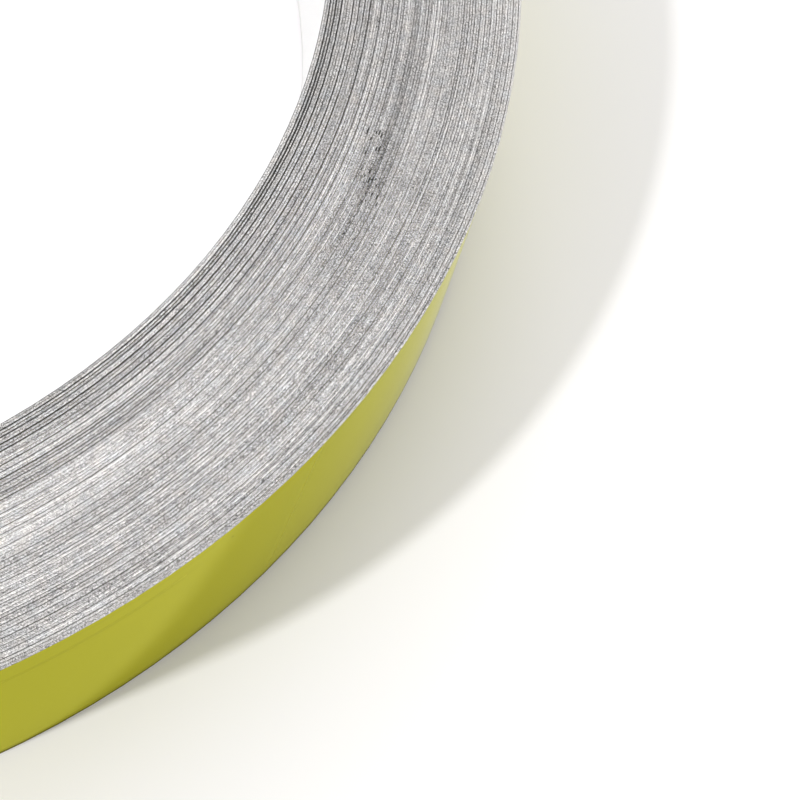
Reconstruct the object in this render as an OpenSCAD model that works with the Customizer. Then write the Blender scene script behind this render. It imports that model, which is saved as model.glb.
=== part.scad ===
// Coil of painted aluminium strip for the sides of channel letters.
// One long strip is wound on its edge, turn on turn, and the coil lies flat.
// The axis of the coil is Z, and its lower end lies at z = 0.

/* [Strip] */
// Width of the strip, which is the height of the coil lying flat
strip_width = 50; // [20:1:160]
// Thickness of the strip with its paint, which is the pitch of the turns
strip_thickness = 0.6; // [0.4:0.05:1.5]

/* [Coil] */
// Diameter of the bore, which is the inner face of the first turn
bore_d = 305; // [150:1:520]
// Turns that the round body is made of, without the lap on its outside
turns = 71; // [10:1:110]
// Angle that the strip runs on past the point where its last lap is clear
tail_angle = 100; // [10:5:170]

/* [Slit edges] */
// Width of the crack that the slit edges leave between two turns
crack_width = 0.2; // [0.1:0.05:0.3]
// Depth of that crack below the end face
crack_depth = 0.3; // [0.15:0.05:0.8]

/* [Hidden] */
$fn = 180;
bore_r = bore_d / 2;
body_r = bore_r + turns * strip_thickness;
half_crack = crack_width / 2;
// The outermost lap is drawn from two centres, as a spiral is with compasses.
// It leaves the round body on a half circle about a point half a thickness off
// the axis, and is one thickness further out where that half circle closes.
centre_shift = strip_thickness / 2;
cut_margin = 1;

// Section through the wound turns. Along both ends the outline dips into the
// crack between each two turns.
module wound_section() {
    seams = [for (i = [1 : turns - 1]) bore_r + i * strip_thickness];
    upper_edge = [for (x = seams) each [
        [x - half_crack, strip_width],
        [x, strip_width - crack_depth],
        [x + half_crack, strip_width]]];
    lower_edge = [for (i = [turns - 2 : -1 : 0]) each [
        [seams[i] + half_crack, 0],
        [seams[i], crack_depth],
        [seams[i] - half_crack, 0]]];
    inner_face = [[bore_r, 0], [bore_r, strip_width]];
    outer_face = [[body_r, strip_width], [body_r, 0]];
    polygon(concat(inner_face, upper_edge, outer_face, lower_edge));
}

// Section through the one turn outside the round body. Only its inner side
// has a crack beside it.
module tail_section() {
    polygon([
        [body_r, crack_depth],
        [body_r, strip_width - crack_depth],
        [body_r + half_crack, strip_width],
        [body_r + strip_thickness, strip_width],
        [body_r + strip_thickness, 0],
        [body_r + half_crack, 0]]);
}

// Round body of the coil
module wound_turns() {
    rotate_extrude() wound_section();
}

// Half turn that climbs off the round body by one thickness
module climbing_lap() {
    difference() {
        translate([centre_shift, 0, 0])
            rotate([0, 0, 180])
                rotate_extrude(angle = 180)
                    translate([body_r - centre_shift, 0])
                        square([strip_thickness, strip_width]);
        translate([0, 0, -cut_margin])
            cylinder(r = body_r - centre_shift, h = strip_width + 2 * cut_margin);
    }
}

// End of the strip, clear of the turn below it and sheared off square
module tail() {
    rotate_extrude(angle = tail_angle) tail_section();
}

// The strip is one piece from the bore to its sheared end
module coiled_strip() {
    color([0.76, 0.75, 0.24]) {
        wound_turns();
        climbing_lap();
        tail();
    }
}

coiled_strip();
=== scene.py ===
from math import cos, pi, radians, sin

import bpy
from mathutils import Matrix, Vector


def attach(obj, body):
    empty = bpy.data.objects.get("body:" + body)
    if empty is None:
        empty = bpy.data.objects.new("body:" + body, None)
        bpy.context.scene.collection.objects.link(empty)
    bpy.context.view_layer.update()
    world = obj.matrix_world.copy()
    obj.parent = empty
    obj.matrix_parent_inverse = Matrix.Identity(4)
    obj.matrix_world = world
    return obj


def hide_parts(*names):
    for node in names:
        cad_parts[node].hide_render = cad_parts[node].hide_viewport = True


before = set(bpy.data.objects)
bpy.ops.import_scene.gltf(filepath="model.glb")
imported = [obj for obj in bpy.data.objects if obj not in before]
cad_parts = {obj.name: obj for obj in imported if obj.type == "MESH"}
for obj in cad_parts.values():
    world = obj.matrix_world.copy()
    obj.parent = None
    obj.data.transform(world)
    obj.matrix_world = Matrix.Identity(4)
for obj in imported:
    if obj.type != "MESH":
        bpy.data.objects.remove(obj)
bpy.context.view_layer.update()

# Camera
# The photo looks down on one quarter of the coil from close by, with the far
# side of the ring outside the picture. Places are in metres from the coil's
# axis, at the height of the table.
CAMERA_AT = Vector((0.0, -0.31029, 0.40319))
CAMERA_AIM = Vector((0.13503, -0.14168, 0.0))
CAMERA_ROLL = radians(20.24)
CAMERA_LENS_MM = 92.43
CAMERA_SENSOR_MM = 36.0

camera_data = bpy.data.cameras.new("camera")
camera_data.lens = CAMERA_LENS_MM
camera_data.sensor_width = CAMERA_SENSOR_MM
camera_data.clip_start = 0.01
camera = bpy.data.objects.new("camera", camera_data)
bpy.context.scene.collection.objects.link(camera)
bpy.context.scene.camera = camera
look = (CAMERA_AIM - CAMERA_AT).to_track_quat("-Z", "Y").to_matrix().to_4x4()
camera.matrix_world = Matrix.Translation(CAMERA_AT) @ look @ Matrix.Rotation(CAMERA_ROLL, 4, "Z")


# Coiled strip
# One aluminium strip, painted lime outside and white inside, slit to width so
# that its two long edges are bare metal. It is wound on its edge into a flat
# spiral of about 71 turns, and its outer end lies sheared off on the last turn.
BORE_RADIUS = 0.1525
TURN_PITCH = 0.0006025
STRIP_THICKNESS = 0.00055
STRIP_WIDTH = 0.04988
EDGE_ROUND = 0.000025
INNER_END_ANGLE = radians(-100)
OUTER_END_ANGLE = radians(100)
WHOLE_TURNS = 70
COIL_TURNS = WHOLE_TURNS + (OUTER_END_ANGLE - INNER_END_ANGLE) / (2 * pi)
STEPS_PER_TURN = 160
WINDING_SEED = 6.1
# the gap between two tight turns, and how the room that is left over is shared out among the turns
TIGHTEST_GAP = 0.000008
SLACK_CHANGES_PER_TURN = 3.1
LEAST_SLACK = 0.08
SLACK_NEAR_RIM = 0.45
# the strip rises and falls a little from turn to turn, up to the last turns, which lie level
HEIGHT_WANDER = 0.00010
WANDER_CHANGES_PER_TURN = 1.3
WANDER_SEED = 40.0
# the bare edges: how much detail there is to a turn or to a metre, and the shade of the metal
SHEAR_MARKS_PER_TURN = 7200.0
DASHES_PER_TURN = 2600.0
PITS_PER_TURN = 600.0
GRAIN_PER_METRE = 6500.0
WORN_PATCHES_PER_METRE = 90.0
METAL_SHADE = 0.38
DARKEST_SHADE = 0.03
BRIGHTEST_SHADE = 0.95
# stretches of the top that are brighter or duller, the first two of them a painted highlight:
# radius, angle, half width, half span and how much
TOP_HIGHLIGHTS_AND_TONES = (
    (0.1740, -96, 0.0800, 54, 0.09),
    (0.1712, -74, 0.0060, 26, 0.08),
    (0.1722, -38, 0.0045, 15, -0.07),
    (0.1930, -12, 0.0130, 45, 0.08),
    (0.1630, -18, 0.0100, 36, -0.04))
# the paint on both faces, and two marks in it: height, place and reach in turns, half width, and
# depth from 0 to 1
LIME = (0.325, 0.315, 0.0)
LIME_LACQUER = (1.0, 0.995, 0.37, 1.0)
WHITE = (0.86, 0.86, 0.85)
CLEAR_LACQUER = (1.0, 1.0, 1.0, 1.0)
# painted shade for the faces shut between the turns, also the colour of the foot line, scratch and chip
SHADE_AND_MARK_COLOR = (0.10, 0.09, 0.005)
HAIR_SCRATCH = (0.0430, 70.012, 0.080, 0.00027, 0.36)
CHIP = (0.0449, 70.094, 0.00028, 0.0004, 1.0)


def add(tree, kind, settings=None, **inputs):
    """Adds a node. Inputs are named as on the node, with _ for a space, or i and their number."""
    node = tree.nodes.new(kind)
    for name, value in (settings or {}).items():
        setattr(node, name, value)
    for name, value in inputs.items():
        key = int(name[1:]) if name[0] == "i" and name[1:].isdigit() else name.replace("_", " ")
        socket = node.inputs[key]
        if isinstance(value, bpy.types.NodeSocket):
            tree.links.new(value, socket)
        else:
            socket.default_value = value
    return node


def calc(tree, operation, *values, clamp=False):
    """Adds a Math node and returns its result."""
    node = tree.nodes.new("ShaderNodeMath")
    node.operation = operation
    node.use_clamp = clamp
    for socket, value in zip(node.inputs, values):
        if isinstance(value, bpy.types.NodeSocket):
            tree.links.new(value, socket)
        else:
            socket.default_value = value
    return node.outputs[0]


def between(tree, share, start, end):
    """start where the share is 0 and end where it is 1, in a straight line."""
    return calc(tree, "MULTIPLY_ADD", share, end - start, start)


def ease(tree, value, low, high):
    """0 at low and 1 at high, with a smooth step between them."""
    step = add(tree, "ShaderNodeMapRange", {"interpolation_type": "SMOOTHSTEP"}, Value=value,
               From_Min=low, From_Max=high)
    return step.outputs[0]


def fade(tree, value, low, high):
    """1 at low and 0 at high, with a smooth step between them."""
    return calc(tree, "SUBTRACT", 1.0, ease(tree, value, low, high))


def line_noise(tree, position, per_unit, seed, detail=0.0):
    """Smooth noise along a line, about 0 to 1 with its middle at 0.5."""
    w = calc(tree, "MULTIPLY_ADD", position, per_unit, seed)
    texture = add(tree, "ShaderNodeTexNoise", {"noise_dimensions": "1D"}, W=w, Scale=1.0, Detail=detail)
    return texture.outputs[0]


def compare(tree, a, operation, b):
    """Adds a Compare node for two numbers and returns its result."""
    node = add(tree, "FunctionNodeCompare", {"data_type": "FLOAT", "operation": operation}, A=a, B=b)
    return node.outputs[0]


def winding_tree(edge_metal, outer_paint, inner_paint):
    """Geometry Nodes that wind the strip: a path that spirals out, and the section swept along it."""
    tree = bpy.data.node_groups.new("wound strip", "GeometryNodeTree")
    tree.interface.new_socket("Geometry", in_out="OUTPUT", socket_type="NodeSocketGeometry")
    sizes = {
        "Bore Radius": BORE_RADIUS, "Start Angle": INNER_END_ANGLE, "Turns": COIL_TURNS,
        "Pitch": TURN_PITCH, "Thickness": STRIP_THICKNESS, "Width": STRIP_WIDTH,
        "Edge Round": EDGE_ROUND, "Tightest Gap": TIGHTEST_GAP, "Height Wander": HEIGHT_WANDER,
        "Seed": WINDING_SEED}
    for name in sizes:
        tree.interface.new_socket(name, in_out="INPUT", socket_type="NodeSocketFloat")
    tree.interface.new_socket("Steps per Turn", in_out="INPUT", socket_type="NodeSocketInt")
    given = tree.nodes.new("NodeGroupInput").outputs
    seed = given["Seed"]
    steps = given["Steps per Turn"]

    # the path: turn is the number of turns wound so far, 0 at the inner end
    count = calc(tree, "ADD", calc(tree, "MULTIPLY", given["Turns"], steps), 1.0)
    path = add(tree, "GeometryNodeCurvePrimitiveLine")
    path = add(tree, "GeometryNodeResampleCurve", Curve=path.outputs[0], Count=count)
    turn = calc(tree, "DIVIDE", add(tree, "GeometryNodeInputIndex").outputs[0], steps)
    path = add(tree, "GeometryNodeStoreNamedAttribute", {"data_type": "FLOAT", "domain": "POINT"},
               Geometry=path.outputs[0], Name="turn", Value=turn)
    turn = add(tree, "GeometryNodeInputNamedAttribute", {"data_type": "FLOAT"}, Name="turn").outputs[0]

    # most turns lie tight, and slack comes in here and there, mostly near the bore, for part of a turn
    loose = ease(tree, line_noise(tree, turn, SLACK_CHANGES_PER_TURN, seed), low=0.58, high=0.76)
    near_bore = between(tree, ease(tree, turn, low=4.0, high=40.0), 1.0, SLACK_NEAR_RIM)
    slack = calc(tree, "MULTIPLY_ADD", loose, near_bore, LEAST_SLACK)
    summed = add(tree, "GeometryNodeAccumulateField", {"data_type": "FLOAT", "domain": "POINT"},
                 Value=slack)
    share = calc(tree, "DIVIDE", summed.outputs["Leading"], summed.outputs["Total"])
    tight_pitch = calc(tree, "ADD", given["Thickness"], given["Tightest Gap"])
    spare = calc(tree, "MULTIPLY", calc(tree, "SUBTRACT", given["Pitch"], tight_pitch), given["Turns"])
    radius = calc(tree, "MULTIPLY_ADD", turn, tight_pitch, given["Bore Radius"])
    radius = calc(tree, "MULTIPLY_ADD", share, spare, radius)
    radius = calc(tree, "MULTIPLY_ADD", given["Thickness"], 0.5, radius)
    angle = calc(tree, "MULTIPLY_ADD", turn, 2 * pi, given["Start Angle"])
    x = calc(tree, "MULTIPLY", radius, calc(tree, "COSINE", angle))
    y = calc(tree, "MULTIPLY", radius, calc(tree, "SINE", angle))
    wander_seed = calc(tree, "ADD", seed, WANDER_SEED)
    lift = line_noise(tree, turn, WANDER_CHANGES_PER_TURN, wander_seed, detail=1.0)
    lift = calc(tree, "MULTIPLY", lift, given["Height Wander"])
    from_end = calc(tree, "SUBTRACT", given["Turns"], turn)
    lift = calc(tree, "MULTIPLY", lift, ease(tree, from_end, low=1.0, high=2.5))
    z = calc(tree, "MULTIPLY_ADD", given["Width"], 0.5, lift)
    place = add(tree, "ShaderNodeCombineXYZ", X=x, Y=y, Z=z)
    path = add(tree, "GeometryNodeSetPosition", Geometry=path.outputs[0], Position=place.outputs[0])
    path = add(tree, "GeometryNodeSetCurveNormal", {"mode": "Z_UP"}, Curve=path.outputs[0])

    # the section: a thin upright bar whose four corners are broken by the slitting knives. across runs
    # from 0 at its inner face to 1 at its outer face
    section = add(tree, "GeometryNodeCurvePrimitiveQuadrilateral", {"mode": "RECTANGLE"},
                  Width=given["Thickness"], Height=given["Width"])
    section = add(tree, "GeometryNodeFilletCurve", {"mode": "POLY"}, Curve=section.outputs[0],
                  Count=1, Radius=given["Edge Round"])
    spot = add(tree, "GeometryNodeInputPosition").outputs[0]
    across = add(tree, "ShaderNodeSeparateXYZ", Vector=spot).outputs[0]
    across = calc(tree, "ADD", calc(tree, "DIVIDE", across, given["Thickness"]), 0.5)
    section = add(tree, "GeometryNodeStoreNamedAttribute", {"data_type": "FLOAT", "domain": "POINT"},
                  Geometry=section.outputs[0], Name="across", Value=across)
    strip = add(tree, "GeometryNodeCurveToMesh", Curve=path.outputs[0],
                Profile_Curve=section.outputs[0], Fill_Caps=True)

    # faces: smooth along the strip, with a crease at each corner of the section
    normal = add(tree, "GeometryNodeInputNormal").outputs[0]
    upward = calc(tree, "ABSOLUTE", add(tree, "ShaderNodeSeparateXYZ", Vector=normal).outputs[2])
    on_side = compare(tree, upward, "LESS_THAN", 0.3)
    across = add(tree, "GeometryNodeInputNamedAttribute", {"data_type": "FLOAT"}, Name="across")
    is_outer = compare(tree, across.outputs[0], "GREATER_THAN", 0.99)
    is_inner = compare(tree, across.outputs[0], "LESS_THAN", 0.01)
    outer_face = add(tree, "FunctionNodeBooleanMath", {"operation": "AND"}, i0=on_side, i1=is_outer)
    inner_face = add(tree, "FunctionNodeBooleanMath", {"operation": "AND"}, i0=on_side, i1=is_inner)
    bend = add(tree, "GeometryNodeInputMeshEdgeAngle").outputs[0]
    strip = add(tree, "GeometryNodeSetShadeSmooth", {"domain": "EDGE"}, Geometry=strip.outputs[0],
                Shade_Smooth=compare(tree, bend, "LESS_THAN", radians(20)))
    result = add(tree, "GeometryNodeRealizeInstances", Geometry=strip.outputs[0])
    result = add(tree, "GeometryNodeSetMaterial", Geometry=result.outputs[0], Material=edge_metal)
    for paint, face in ((outer_paint, outer_face), (inner_paint, inner_face)):
        result = add(tree, "GeometryNodeSetMaterial", Geometry=result.outputs[0], Material=paint,
                     Selection=face.outputs[0])
    tree.links.new(result.outputs[0], tree.nodes.new("NodeGroupOutput").inputs[0])
    return tree, {**sizes, "Steps per Turn": STEPS_PER_TURN}


def new_material(name):
    """A material with its Principled shader, ready for more nodes."""
    material = bpy.data.materials.new(name)
    material.use_nodes = True
    return material, material.node_tree, material.node_tree.nodes["Principled BSDF"]


def noise(tree, place, scale, detail=0.0, roughness=0.5):
    """Smooth noise in space, about 0 to 1 with its middle at 0.5."""
    texture = add(tree, "ShaderNodeTexNoise", Vector=place, Scale=scale, Detail=detail,
                  Roughness=roughness)
    return texture.outputs[0]


def strip_noise(tree, turn, per_turn, shift_per_turn, third=0.0, detail=0.0):
    """Noise along the strip, not the same on any two turns."""
    along = calc(tree, "MULTIPLY", calc(tree, "FRACT", turn), per_turn)
    shifted = calc(tree, "MULTIPLY", turn, shift_per_turn)
    spot = add(tree, "ShaderNodeCombineXYZ", X=along, Y=shifted, Z=third)
    return noise(tree, spot.outputs[0], 1.0, detail)


def scatter(tree, shade, noise_value, amount):
    """Adds a noise, centred on 0 and scaled by amount, to a shade."""
    return calc(tree, "MULTIPLY_ADD", calc(tree, "SUBTRACT", noise_value, 0.5), amount, shade)


def near_line(tree, place, start, end, reach):
    """1 on the line from start to end in the plane of the table, fading to 0 at reach from it."""
    along = end - start
    offset = add(tree, "ShaderNodeVectorMath", {"operation": "SUBTRACT"}, i0=place, i1=(*start, 0.0))
    flat = add(tree, "ShaderNodeVectorMath", {"operation": "MULTIPLY"}, i0=offset.outputs[0],
               i1=(1.0, 1.0, 0.0)).outputs[0]
    dot = add(tree, "ShaderNodeVectorMath", {"operation": "DOT_PRODUCT"}, i0=flat, i1=(*along, 0.0))
    part = calc(tree, "DIVIDE", dot.outputs["Value"], along.length_squared, clamp=True)
    foot = add(tree, "ShaderNodeVectorMath", {"operation": "SCALE"}, i0=(*along, 0.0), Scale=part)
    away = add(tree, "ShaderNodeVectorMath", {"operation": "DISTANCE"}, i0=flat, i1=foot.outputs[0])
    return fade(tree, away.outputs["Value"], 0.0, reach)


def polar(radius, degrees):
    """A point on the table, from the coil's axis."""
    return Vector((radius * cos(radians(degrees)), radius * sin(radians(degrees))))


def arc_patch(tree, place, radius, degrees, half_width, half_span):
    """1 in the middle of a patch that runs round with the turns, fading to 0 at its sides and ends."""
    x, y, _ = add(tree, "ShaderNodeSeparateXYZ", Vector=place).outputs
    squares = calc(tree, "ADD", calc(tree, "MULTIPLY", x, x), calc(tree, "MULTIPLY", y, y))
    aside = calc(tree, "ABSOLUTE", calc(tree, "SUBTRACT", calc(tree, "SQRT", squares), radius))
    turned = calc(tree, "SUBTRACT", calc(tree, "ARCTAN2", y, x), radians(degrees))
    turned = calc(tree, "ABSOLUTE", turned)
    in_width = fade(tree, aside, 0.0, half_width)
    in_span = fade(tree, turned, 0.0, radians(half_span))
    return calc(tree, "MULTIPLY", in_width, in_span)


def slit_edge_metal():
    """Slit aluminium: shear marks across each edge, grime and painted gap shade in some joints, painted
    burr highlights on some turns.
    """
    material, tree, shader = new_material("slit aluminium edge")
    place = add(tree, "ShaderNodeTexCoord").outputs["Object"]
    turn = add(tree, "ShaderNodeAttribute", {"attribute_name": "turn"}).outputs["Fac"]
    across = add(tree, "ShaderNodeAttribute", {"attribute_name": "across"}).outputs["Fac"]

    # shear marks across the edge, clearest on one stretch of the ring, with a fine grain and worn patches
    marks = strip_noise(tree, turn, SHEAR_MARKS_PER_TURN, shift_per_turn=9.7,
                        third=calc(tree, "MULTIPLY", across, 2.2), detail=1.0)
    clearest = arc_patch(tree, place, radius=0.174, degrees=-60, half_width=0.120, half_span=30)
    worn = noise(tree, place, WORN_PATCHES_PER_METRE, detail=3.0, roughness=0.6)
    shade = scatter(tree, METAL_SHADE, marks, amount=between(tree, clearest, 1.05, 1.60))
    shade = scatter(tree, shade, noise(tree, place, GRAIN_PER_METRE), amount=0.8)
    shade = scatter(tree, shade, worn, amount=0.16)
    # each turn has its own tone, which drifts along it, and so has each stretch of the roll
    shade = scatter(tree, shade, line_noise(tree, turn, 8.3, seed=71.0, detail=1.0), amount=0.32)
    shade = scatter(tree, shade, line_noise(tree, turn, 0.23, seed=19.0, detail=1.0), amount=0.09)
    # the quarter nearer the lamp is brighter and has a brighter band in it, both a painted highlight. A
    # dull band lies further on, and beyond it the ring is brighter at the rim and duller towards the bore
    # painted highlight and tone: each stretch lightens or darkens the metal's colour
    for radius, degrees, half_width, half_span, amount in TOP_HIGHLIGHTS_AND_TONES:
        stretch = arc_patch(tree, place, radius, degrees, half_width, half_span)
        shade = calc(tree, "MULTIPLY_ADD", stretch, amount, shade)

    # dark joints where the turns press on each other, in some of the joints only, grime and painted shade
    # of the
    # gaps between the turns: wider near the bore, and widest in the joints that follow the first
    near_bore = fade(tree, turn, low=8.0, high=25.0)
    after_first = ease(tree, turn, low=1.0, high=1.4)
    first_few = calc(tree, "MULTIPLY", after_first, fade(tree, turn, low=3.6, high=5.2))
    from_middle = calc(tree, "ABSOLUTE", calc(tree, "SUBTRACT", across, 0.5))
    spread = calc(tree, "MULTIPLY_ADD", near_bore, 0.12, calc(tree, "MULTIPLY", first_few, 0.05))
    joint = ease(tree, calc(tree, "ADD", from_middle, spread), low=0.35, high=0.46)
    dashes = strip_noise(tree, turn, DASHES_PER_TURN, shift_per_turn=5.3, third=9.0, detail=1.0)
    dashes = between(tree, ease(tree, dashes, low=0.36, high=0.60), 0.80, 1.0)
    # a joint is dark alike on both its sides. The turns lie in pairs, most clearly near the bore, so every
    # second joint is the darker one
    joint_at = calc(tree, "SUBTRACT", turn, calc(tree, "LESS_THAN", across, 0.5))
    pairing = calc(tree, "COSINE", calc(tree, "MULTIPLY", joint_at, pi))
    pairing = calc(tree, "MULTIPLY", pairing, between(tree, near_bore, -0.13, -0.28))
    joint_darkness = calc(tree, "ADD", line_noise(tree, joint_at, 8.3, seed=53.0, detail=1.0), pairing)
    joint_darkness = calc(tree, "MULTIPLY_ADD", first_few, 0.33, calc(tree, "ADD", joint_darkness, 0.02))
    # painted shade: the darkening of the joints also stands for the shade in the gaps between the turns
    grime_and_gap_shade = calc(tree, "MULTIPLY", joint, ease(tree, joint_darkness, low=0.46, high=0.64))
    grime_and_gap_shade = calc(tree, "MULTIPLY", grime_and_gap_shade, dashes)
    shade = calc(tree, "MULTIPLY", shade, between(tree, grime_and_gap_shade, 1.0, 0.05))
    # burrs, painted as a highlight: thin bright lines along the outer corner of a few turns, fainter here
    # and there, and none on the last turn
    burr_highlight = ease(tree, line_noise(tree, turn, 7.7, seed=31.0, detail=1.0), low=0.53, high=0.63)
    burr_highlight = calc(tree, "MULTIPLY", burr_highlight, ease(tree, across, low=0.66, high=0.78))
    burr_highlight = calc(tree, "MULTIPLY", burr_highlight, calc(tree, "LESS_THAN", turn, COIL_TURNS - 1.05))
    strong = ease(tree, line_noise(tree, turn, 310.0, seed=5.0), low=0.35, high=0.5)
    burr_highlight = calc(tree, "MULTIPLY", burr_highlight, between(tree, strong, 0.4, 1.0))
    shade = calc(tree, "MULTIPLY_ADD", burr_highlight, 0.34, shade)
    # a trail of small dents across the turns, each a short dark pit along the strip, painted shade of the
    # dent
    trail = near_line(tree, place, polar(0.1695, -36.5), polar(0.1745, -43.0), reach=0.0034)
    trail = calc(tree, "MULTIPLY", trail, 1.8, clamp=True)
    pits = strip_noise(tree, turn, PITS_PER_TURN, shift_per_turn=17.3)
    pits = calc(tree, "MULTIPLY", ease(tree, pits, low=0.61, high=0.64), trail)
    pits = calc(tree, "MULTIPLY", pits, ease(tree, across, low=0.48, high=0.56))
    shade = calc(tree, "MULTIPLY", shade, between(tree, pits, 1.0, 0.1))
    shade = calc(tree, "MINIMUM", calc(tree, "MAXIMUM", shade, DARKEST_SHADE), BRIGHTEST_SHADE)

    # the metal is a warm grey, a little warmer or cooler from spot to spot
    warmth = noise(tree, place, 400.0, detail=2.0)
    red = calc(tree, "MULTIPLY", shade, scatter(tree, 1.01, warmth, amount=0.10))
    green = calc(tree, "MULTIPLY", shade, 0.99)
    blue = calc(tree, "MULTIPLY", shade, scatter(tree, 0.975, warmth, amount=-0.10))
    color = add(tree, "ShaderNodeCombineColor", Red=red, Green=green, Blue=blue)
    tree.links.new(color.outputs[0], shader.inputs["Base Color"])
    shader.inputs["Metallic"].default_value = 1.0
    shader.inputs["Roughness"].default_value = 0.62
    shader.inputs["Anisotropic"].default_value = 0.6
    circling = add(tree, "ShaderNodeTangent", {"direction_type": "RADIAL", "axis": "Z"})
    tree.links.new(circling.outputs[0], shader.inputs["Tangent"])
    bump = add(tree, "ShaderNodeBump", Height=marks, Distance=0.00006, Strength=0.3)
    tree.links.new(bump.outputs[0], shader.inputs["Normal"])
    return material


def coil_paint(name, color, lacquer, roughness, foot_shade, shown_from, shown_to):
    """Coil-coated paint with a faint orange peel, and painted shade on the turns that are shut in the
    roll.
    """
    material, tree, shader = new_material(name)
    place = add(tree, "ShaderNodeTexCoord").outputs["Object"]
    turn = add(tree, "ShaderNodeAttribute", {"attribute_name": "turn"}).outputs["Fac"]
    peel = noise(tree, place, 900.0, detail=2.0)
    drift = noise(tree, place, 25.0, detail=1.0)
    tint = add(tree, "ShaderNodeMixRGB", {"blend_type": "MIX"}, Fac=drift,
               Color1=(*[c * 0.97 for c in color], 1), Color2=(*[c * 1.03 for c in color], 1))
    shown = calc(tree, "MULTIPLY", calc(tree, "GREATER_THAN", turn, shown_from),
                 calc(tree, "LESS_THAN", turn, shown_to))
    # a thin dark line of painted contact shade runs along the foot, and a hair scratch runs round to a
    # small chip
    height = add(tree, "ShaderNodeSeparateXYZ", Vector=place).outputs[2]
    foot_shade_and_marks = calc(tree, "MULTIPLY", fade(tree, height, low=0.0, high=0.0024), foot_shade)
    for mark_height, middle, reach, half_width, depth in (HAIR_SCRATCH, CHIP):
        aside = calc(tree, "ABSOLUTE", calc(tree, "SUBTRACT", height, mark_height))
        along = calc(tree, "ABSOLUTE", calc(tree, "SUBTRACT", turn, middle))
        mark = calc(tree, "MULTIPLY", fade(tree, aside, 0.2 * half_width, half_width),
                    fade(tree, along, 0.85 * reach, reach))
        foot_shade_and_marks = calc(tree, "MAXIMUM", foot_shade_and_marks, calc(tree, "MULTIPLY", mark, depth))
    # painted shade on the turns shut in the roll and along the foot, with the scratch and chip
    shaded_or_marked = calc(tree, "MAXIMUM", calc(tree, "SUBTRACT", 1.0, shown), foot_shade_and_marks)
    tint = add(tree, "ShaderNodeMixRGB", {"blend_type": "MIX"}, Fac=shaded_or_marked,
               Color1=tint.outputs[0], Color2=(*SHADE_AND_MARK_COLOR, 1))
    tree.links.new(tint.outputs[0], shader.inputs["Base Color"])
    # the foot line, scratch and chip dull the gloss first, and only where they are deepest do they hide
    # the lacquer's tint
    tree.links.new(between(tree, foot_shade_and_marks, roughness, 0.9), shader.inputs["Roughness"])
    gloss = calc(tree, "SUBTRACT", 0.5, foot_shade_and_marks, clamp=True)
    tree.links.new(gloss, shader.inputs["Specular IOR Level"])
    tree.links.new(fade(tree, foot_shade_and_marks, low=0.5, high=1.0), shader.inputs["Coat Weight"])
    shader.inputs["IOR"].default_value = 1.55
    shader.inputs["Coat Roughness"].default_value = roughness
    shader.inputs["Coat IOR"].default_value = 1.05
    shader.inputs["Coat Tint"].default_value = lacquer
    bump = add(tree, "ShaderNodeBump", Height=peel, Distance=0.00001, Strength=0.2)
    tree.links.new(bump.outputs[0], shader.inputs["Normal"])
    return material


tree, values = winding_tree(
    slit_edge_metal(),
    coil_paint("lime coil paint", LIME, LIME_LACQUER, roughness=0.09, foot_shade=0.8,
               shown_from=COIL_TURNS - 1.01, shown_to=COIL_TURNS + 1.0),
    coil_paint("white backing paint", WHITE, CLEAR_LACQUER, roughness=0.40, foot_shade=0.15,
               shown_from=-1.0, shown_to=1.01))
carrier = bpy.data.objects.new("winding", bpy.data.meshes.new("winding"))
bpy.context.scene.collection.objects.link(carrier)
winding = carrier.modifiers.new("winding", "NODES")
winding.node_group = tree
for socket in tree.interface.items_tree:
    if socket.in_out == "INPUT":
        winding[socket.identifier] = values[socket.name]
evaluated = carrier.evaluated_get(bpy.context.evaluated_depsgraph_get())
strip_mesh = bpy.data.meshes.new_from_object(evaluated)
strip_mesh.name = "coiled_aluminium_strip"
carrier.modifiers.remove(winding)
bpy.data.objects.remove(carrier)
strip = bpy.data.objects.new("coiled_aluminium_strip", strip_mesh)
bpy.context.scene.collection.objects.link(strip)
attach(strip, "root")
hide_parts("coiled_strip")


# Table and light
# A white table top. One small lamp up on the left throws the ring's shadow to
# the right, a wide soft lamp stands behind on the right and a low one beside it,
# and the room is white.
FLOOR_SIZE = 12.0
FLOOR_COLOR = (0.945, 0.932, 0.945, 1)
FADE_START = 0.45
FADE_END = 1.2
ROOM_LIGHT = 0.615
# name, kind, place, radius or width in metres, and watts
LAMPS = (
    ("lamp", "POINT", Vector((-1.010, -0.343, 1.040)), 0.045, 45.5),
    ("back window", "AREA", Vector((0.965, 1.150, 0.798)), 1.5, 17.0),
    ("side panel", "AREA", Vector((1.866, -0.500, 0.518)), 1.2, 5.0))


def seen(tree):
    """1 for a ray from the camera, off a gloss or through glass, and 0 for light that falls on things."""
    rays = add(tree, "ShaderNodeLightPath").outputs
    mirrored = calc(tree, "MAXIMUM", rays["Is Glossy Ray"], rays["Is Transmission Ray"])
    return calc(tree, "MAXIMUM", rays["Is Camera Ray"], mirrored)


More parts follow.
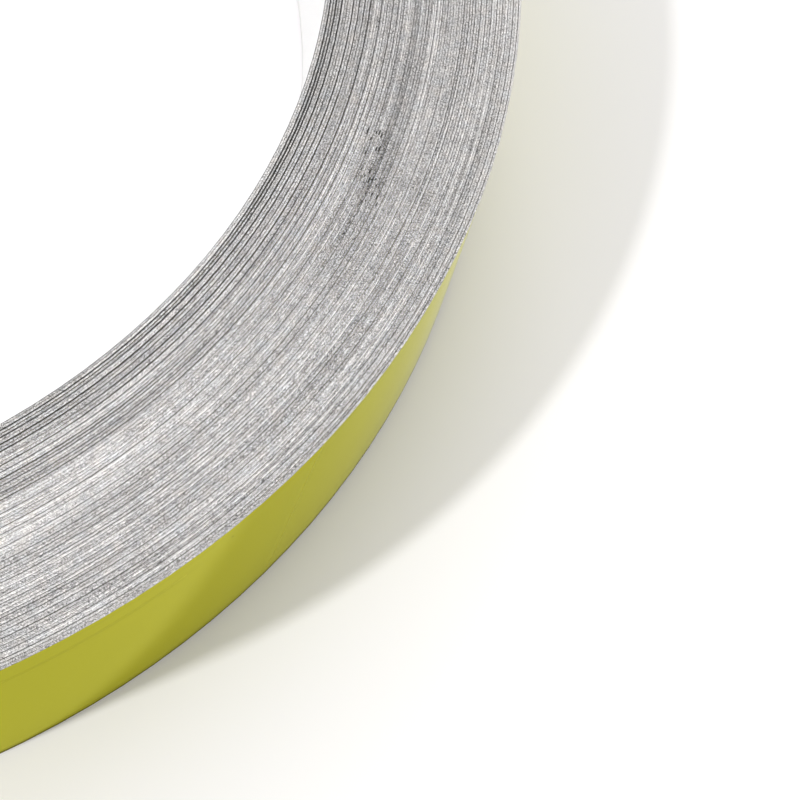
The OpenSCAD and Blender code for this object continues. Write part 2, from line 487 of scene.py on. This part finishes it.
floor_mesh = bpy.data.meshes.new("table_top")
half = FLOOR_SIZE / 2
corners = [(-half, -half, 0), (half, -half, 0), (half, half, 0), (-half, half, 0)]
floor_mesh.from_pydata(corners, [], [(0, 1, 2, 3)])
floor = bpy.data.objects.new("table_top", floor_mesh)
bpy.context.scene.collection.objects.link(floor)
material, floor_tree, floor_shader = new_material("white table")
floor_shader.inputs["Base Color"].default_value = FLOOR_COLOR
floor_shader.inputs["Roughness"].default_value = 0.7
floor_shader.inputs["Specular IOR Level"].default_value = 0.2
# far from the coil the table is seen to fade into the white of the room
place = add(floor_tree, "ShaderNodeTexCoord").outputs["Object"]
away = add(floor_tree, "ShaderNodeVectorMath", {"operation": "LENGTH"}, i0=place).outputs["Value"]
faded = ease(floor_tree, away, FADE_START, FADE_END)
faded = calc(floor_tree, "MULTIPLY", faded, seen(floor_tree))
plain_white = add(floor_tree, "ShaderNodeEmission", Color=(1, 1, 1, 1), Strength=1.0)
blend = add(floor_tree, "ShaderNodeMixShader", Fac=faded, i1=floor_shader.outputs[0],
            i2=plain_white.outputs[0])
floor_tree.links.new(blend.outputs[0], floor_tree.nodes["Material Output"].inputs["Surface"])
floor_mesh.materials.append(material)

for name, kind, at, size, watts in LAMPS:
    lamp_data = bpy.data.lights.new(name, kind)
    lamp_data.energy = watts
    if kind == "POINT":
        lamp_data.shadow_soft_size = size
    else:
        lamp_data.size = size
    lamp = bpy.data.objects.new(name, lamp_data)
    lamp.matrix_world = Matrix.Translation(at) @ (-at).to_track_quat("-Z", "Y").to_matrix().to_4x4()
    lamp.visible_camera = False
    bpy.context.scene.collection.objects.link(lamp)

# the room lights at a plain level, and shows white behind the coil and in its metal
room = bpy.data.worlds.new("room")
bpy.context.scene.world = room
room.use_nodes = True
room_tree = room.node_tree
background = room_tree.nodes["Background"]
background.inputs["Color"].default_value = (1, 1, 1, 1)
strength = between(room_tree, seen(room_tree), ROOM_LIGHT, 1.0)
room_tree.links.new(strength, background.inputs["Strength"])

bpy.context.scene.view_settings.view_transform = "Standard"
